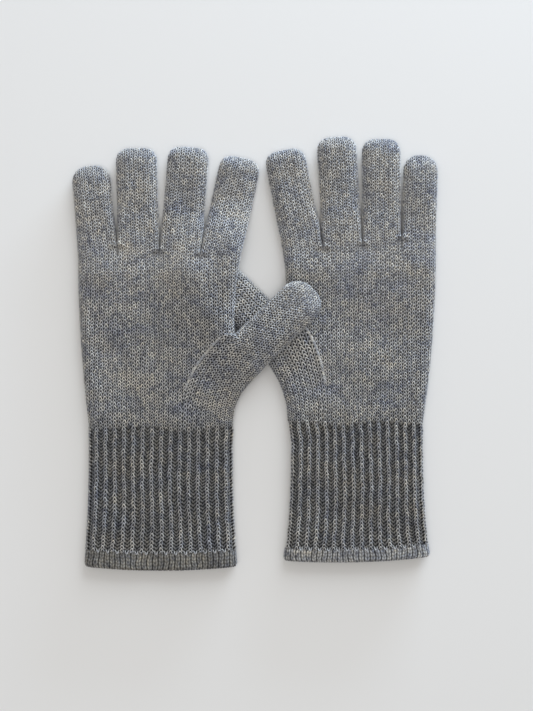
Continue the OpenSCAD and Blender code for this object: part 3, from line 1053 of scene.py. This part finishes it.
def loops_of_yarn(g, k, c, drop, apex, yarn):
    """Height 0-1 of the loops at (k, c), and the number of the loop."""
    from_mid = g.times(g.math("ABSOLUTE", g.minus(g.math("FRACT", k), 0.5)), 2.0)
    angle = g.times(from_mid, pi)
    bent = g.math("MULTIPLY_ADD", g.math("COSINE", angle), -drop / 2, drop / 2 - apex)
    s = g.plus(c, bent)
    loop = g.math("FLOOR", g.plus(s, 0.5))
    off = g.times(g.minus(s, loop), COURSE / yarn)
    slope = g.times(g.math("SINE", angle), drop * pi * COURSE / WALE)
    steep = g.math("MULTIPLY_ADD", slope, slope, 1.0)
    flat = g.math("DIVIDE", g.times(off, off), steep)
    height = g.math("MAXIMUM", g.minus(1.0, flat), 0.0)
    gap = g.remap(from_mid, GAP[0], GAP[1], 1.0, 1 - GAP[2], "SMOOTHSTEP")
    return g.times(height, gap), loop


# shades of the fibres, from dark to pale
SHADES = [(0.32, (0.19, 0.192, 0.210)), (0.44, (0.34, 0.341, 0.350)),
          (0.55, (0.47, 0.466, 0.458)), (0.70, (0.68, 0.664, 0.625))]
# tints of the yarn, from blue to sand
TINTS = [(0.36, (0.84, 0.92, 1.16)), (0.46, (0.97, 0.99, 1.03)),
         (0.53, (1.03, 1.00, 0.95)), (0.65, (1.14, 1.02, 0.84))]
HOLE_SHADE = 0.02  # painted shade: the light left in the holes between the loops
FINGER_HOLE_SHADE = 0.15  # the same on the fingers, paler there: painted light
FINGERS_FROM = (138.0, 152.0)  # courses over which hand becomes finger, and the painted light of the fingers fades in
LEFT_HEM_SHADE = (0.63, 0.61, 0.57)  # painted shade: the left hem is darker than the right one


def rib_shading(g, k, c, light, height):
    """Light and height on the cuff, where sunken wales show the backs of the loops and get
    painted shade.
    """
    purl, _ = loops_of_yarn(g, k, c, -PURL_DROP, PURL_APEX, PURL_YARN)
    wave = g.math("COSINE", g.times(g.minus(k, 0.5), pi))
    up = g.remap(wave, -0.25, 0.25, 0.0, 1.0, "SMOOTHSTEP")
    wale = g.math("WRAP", g.math("FLOOR", k), UV_WALES / 2, -UV_WALES / 2)
    late = g.math("SINE", g.times(wale, START_STEP))
    line = UV_COURSES - START_FIRST - START_SPREAD / 2 - START_FADE * 0.4
    start = g.plus(g.times(late, -START_SPREAD / 2), g.minus(line, c))
    formed = g.remap(start, 0.0, START_FADE * 0.35, 0.0, 1.0)
    sunk = g.times(g.minus(1.0, up), formed)
    # painted shade: the sunken wales are darker
    purl_shade = g.remap(purl, 0.0, 0.9, 0.07, 0.52)
    return g.between(light, purl_shade, sunk), g.between(height, purl, sunk)


def hem_shading(g, k, c):
    """Height of the hem stitches, 0-1, which is their painted light and shade as well: dark in
    the grooves between the wales.
    """
    from_mid = g.math("ABSOLUTE", g.math("MULTIPLY_ADD", g.math("FRACT", k), 2.0, -1.0))
    # painted shade in the grooves between the wales
    groove = g.remap(from_mid, 0.70, 0.97, 1.0, 0.10)
    leg = g.math("SINE", g.times(from_mid, pi))
    drop = g.math("MULTIPLY_ADD", from_mid, -HEM_SLANT, c)
    turns = g.math("COSINE", g.times(drop, 2 * pi))
    legs = g.times(g.remap(leg, 0.0, 0.8, 0.42, 1.0), g.remap(turns, -0.8, 0.6, 0.62, 1.0))
    return g.times(groove, legs)


def stitch_shading(g, style, k, c):
    """Painted light and shade of the stitches at (k, c), dark in the holes and grooves between
    the loops, their height, both 0-1, and the number of the loop.
    """
    height, loop = loops_of_yarn(g, k, c, LEG_DROP, APEX, YARN)
    # the holes on the fingers are painted paler: painted light
    hole = g.remap(c, *FINGERS_FROM, HOLE_SHADE, FINGER_HOLE_SHADE) if style == "plain" else HOLE_SHADE
    light = g.remap(height, 0.06, 0.95, hole, 1.0)
    if style == "rib":
        light, height = rib_shading(g, k, c, light, height)
    if style == "hem":
        light = height = hem_shading(g, k, c)
    if style == "trim":
        light = g.remap(g.math("FRACT", c), 0.0, 0.3, 0.7, 1.0)
    return light, height, loop


def marl(g, k, c, loop, tone):
    """Colour of the marled yarn: every half loop has its own shade, and shades and tints
    drift along the course and in patches."""
    cell = g.vector(g.math("FLOOR", g.times(k, 2.0)), loop)
    single = g.node("TexWhiteNoise", {"noise_dimensions": "2D"}, Vector=cell).outputs
    streak = g.noise(g.vector(g.times(k, 0.9), g.times(loop, 5.31)), 1.0, 2.0, 0.6)
    patch = g.noise(g.vector(g.times(k, 0.13), g.times(c, 0.16), 3.7), 1.0, 3.0, 0.65)
    value = g.plus(g.times(streak[0], 0.60),
                   g.plus(g.times(single[0], 0.19), g.times(patch[0], 0.21)))
    base = g.ramp(value, [(at, tuple(tone * v for v in shade)) for at, shade in SHADES])
    hue_at = g.plus(g.times(patch[0], 0.55), g.times(streak[1], 0.45))
    return g.tint(0.5, base, g.ramp(hue_at, TINTS))


def painted_wrist_shade_and_finger_light(g, style, c, colour):
    """Painted shade at the wrist, where the ribs pinch the fabric, and painted light that makes
    the fingers paler.
    """
    if style == "rib":
        # painted shade on the top courses of the cuff, next to the wrist
        return g.shade(1.0, colour, g.remap(c, 96.0, UV_COURSES, 1.0, 0.94))
    # painted shade on the first courses above the wrist, then painted light on the fingers
    above = g.remap(c, UV_COURSES, 105.0, 0.84, 1.0)
    return g.shade(1.0, colour, g.times(above, g.remap(c, *FINGERS_FROM, 1.0, 1.05)))


def yarn_material(name, style, tone):
    """Marled yarn, with painted shade in the holes between the loops, and plies and fibres as
    bump.
    """
    g = Graph(name)
    uv = g.node("UVMap", {"uv_map": "knit"}).outputs[0]
    sep = g.node("SeparateXYZ", i0=uv)
    k, c = sep.outputs[0], sep.outputs[1]
    light, height, loop = stitch_shading(g, style, k, c)
    colour = marl(g, k, c, loop, tone)
    if style in ("plain", "rib"):
        colour = painted_wrist_shade_and_finger_light(g, style, c, colour)
    if style == "hem":
        # painted shade: the left hem is darker than the right one
        left = g.math("LESS_THAN", k, UV_WALES / 2)
        colour = g.mix(left, colour, g.tint(1.0, colour, LEFT_HEM_SHADE))
    # painted shade: the colour is darkened where the loops are low, in the holes and the grooves
    # between the wales
    colour = g.shade(1.0, colour, light)
    # plies: fine slanting lines along each leg
    lean = g.math("ABSOLUTE", g.minus(g.math("FRACT", k), 0.5))
    twist = g.math("MULTIPLY_ADD", lean, 5.0, g.times(c, 3.0))
    ply = g.math("SINE", g.times(twist, 2 * pi))
    colour = g.shade(0.8, colour, g.remap(ply, -1.0, 1.0, 0.88, 1.08))
    # fibres of mixed shades, matted together
    where = g.node("TexCoord").outputs[3]
    fibre = g.noise(where, 1800.0, 4.0, 0.7, 0.6)[0]
    fluff = g.noise(where, 420.0, 3.0, 0.6)[0]
    fuzz = g.math("MULTIPLY_ADD", fluff, 0.6, fibre)
    fine = g.math("MULTIPLY_ADD", ply, 0.3, fuzz)
    colour = g.shade(0.8, colour, g.remap(fibre, 0.32, 0.68, 0.72, 1.28))
    bump = g.node("Bump", Strength=0.55, Distance=0.00022, Height=fine).outputs[0]
    yarn = g.node("Bump", Strength=0.55, Distance=0.0005, Height=height, Normal=bump)
    return g.finish(g.node(
        "BsdfPrincipled", Base_Color=colour, Normal=yarn.outputs[0],
        Roughness=g.remap(fibre, 0.3, 0.7, 0.82, 0.98), Specular_IOR_Level=0.18,
        Sheen_Weight=0.6, Sheen_Roughness=0.32, Sheen_Tint=(0.78, 0.84, 1.0, 1)))


# ---- stage

FLOOR_HALF = 5.0  # metres
FLOOR_DROP = 0.0002  # the floor lies this far under the gloves, against flicker


def pale_floor():
    """A large pale floor."""
    g = Graph("pale_floor")
    noise = g.node("TexNoise", Scale=3.0).outputs[0]
    colour = g.ramp(noise, [(0.3, (0.745, 0.742, 0.738)), (0.7, (0.755, 0.752, 0.748))])
    material = g.finish(g.node("BsdfPrincipled", Base_Color=colour, Roughness=0.9))
    corners = ((-1, -1), (1, -1), (1, 1), (-1, 1))
    verts = [(x * FLOOR_HALF, y * FLOOR_HALF, -FLOOR_DROP) for x, y in corners]
    obj = add_mesh("floor", verts, [[0, 1, 2, 3]])
    obj.data.materials.append(material)


def sky():
    """Soft, slightly warm light from all around."""
    world = bpy.data.worlds.new("studio")
    bpy.context.scene.world = world
    world.use_nodes = True
    background = world.node_tree.nodes["Background"]
    background.inputs[0].default_value = (1.0, 0.975, 0.94, 1)
    background.inputs[1].default_value = 0.42


def area(name, where, aim, size, power, colour):
    """Rectangular light at where, turned to aim; size is its width and height."""
    light = bpy.data.lights.new(name, "AREA")
    light.shape = "RECTANGLE"
    light.size, light.size_y = size
    light.energy = power
    light.color = colour
    obj = add_object(name, light)
    obj.location = where
    way = Vector(np.subtract(aim, where))
    obj.rotation_euler = way.to_track_quat("-Z", "Y").to_euler()


def lights():
    """A big window behind the fingertips, a low blue one and a weak light overhead."""
    area("window", (0.9, 2.0, 1.1), (0.02, 0.03, 0), (1.9, 1.9), 41.0, (0.88, 0.94, 1.0))
    area("low_window", (0.5, 1.05, 0.10), (0, 0.1, 0), (0.7, 0.12), 18.0, (0.66, 0.82, 1.0))
    area("overhead", (-0.2, -0.3, 1.9), (0, 0, 0), (1.4, 1.4), 12.0, (1.0, 0.98, 0.95))


def camera():
    """Straight above the pair, looking down."""
    lens, sensor = 85.0, 36.0
    field = 711 * 0.62 * MM           # the picture's height: rows by millimetres to a row
    cam = bpy.data.cameras.new("camera")
    cam.lens = lens
    cam.sensor_width = sensor
    cam.clip_end = 20
    obj = add_object("camera", cam)
    obj.location = (0.00744, -0.00124, field * lens / sensor + THICK * MM / 2)
    bpy.context.scene.camera = obj


# ---- assembly

MATERIALS = {
    "stocking_knit": yarn_material("stocking_knit", "plain", 1.07),
    "rib_knit": yarn_material("rib_knit", "rib", 0.91),
    "hem_knit": yarn_material("hem_knit", "hem", 0.85),
    "ridge_stitches": yarn_material("ridge_stitches", "trim", 1.1),
}


def finish_piece(obj, node, slot, body=None):
    """Material of the slot, hidden CAD node and, where given, body of a piece."""
    obj.data.materials.append(MATERIALS[slot])
    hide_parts(node)
    if body:
        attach(obj, body)


def bend(g, obj, body, x, y, dx, dy):
    """Bake the transform of a piece. The start at (x, y) and the end by (dx, dy) of its bend are
    worked out, but nothing is blended.
    """
    start, end = [[v * MM for v in mirrored(g, *p, HALF)] for p in ((x, y), (x + dx, y + dy))]
    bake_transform(obj)
    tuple(start)
    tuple(end)


def glove(g):
    """All the pieces of one glove."""
    name = g.name
    hand, cuff, thumb = name + "_hand", name + "_cuff", name + "_thumb"

    *knit, hole = hand_surface(g)
    obj = shell(g, name + "_hand_knit", *knit, "plain", hole=hole)
    finish_piece(obj, hand, "stocking_knit", hand)

    obj = shell(g, name + "_gusset_knit", *gusset_surface(g), "plain", ring=False)
    finish_piece(obj, name + "_thumb_gusset", "stocking_knit", hand)

    *knit, tip_row = thumb_surface(g)
    obj = shell(g, name + "_thumb_knit", *knit, "plain", tip_row=tip_row)
    finish_piece(obj, thumb, "stocking_knit")
    base = g.corner + g.across * g.thumb_width / 2
    bend(g, obj, thumb, *base, *g.toward * FOLD)

    for finger in ORDER:
        *knit, tip_row = finger_surface(g, finger)
        obj = shell(g, f"{name}_{finger}_knit", *knit, "plain", tip_row=tip_row)
        node = f"{name}_{finger}_finger"
        finish_piece(obj, node, "stocking_knit")
        bend(g, obj, node, -g.fingers[finger][0], g.knuckle, 0, FOLD)

    obj = shell(g, name + "_cuff_knit", *cuff_surface(g), "rib")
    finish_piece(obj, cuff, "rib_knit")
    bend(g, obj, cuff, -(g.cuff_outer + g.cuff_inner) / 2, g.wrist, 0, -FOLD)

    obj = shell(g, name + "_hem_knit", *hem_surface(g), "hem")
    finish_piece(obj, name + "_hem", "hem_knit", cuff)
    finish_piece(hem_loops(g), name + "_hem", "ridge_stitches", cuff)
    finish_piece(ridge(g), name + "_gusset_ridge", "ridge_stitches", hand)
    finish_piece(joins(g), name + "_crotch_joins", "ridge_stitches", hand)


for pair_half in GLOVES:
    glove(pair_half)
camera()
pale_floor()
sky()
lights()
bpy.context.scene.view_settings.view_transform = "Standard"
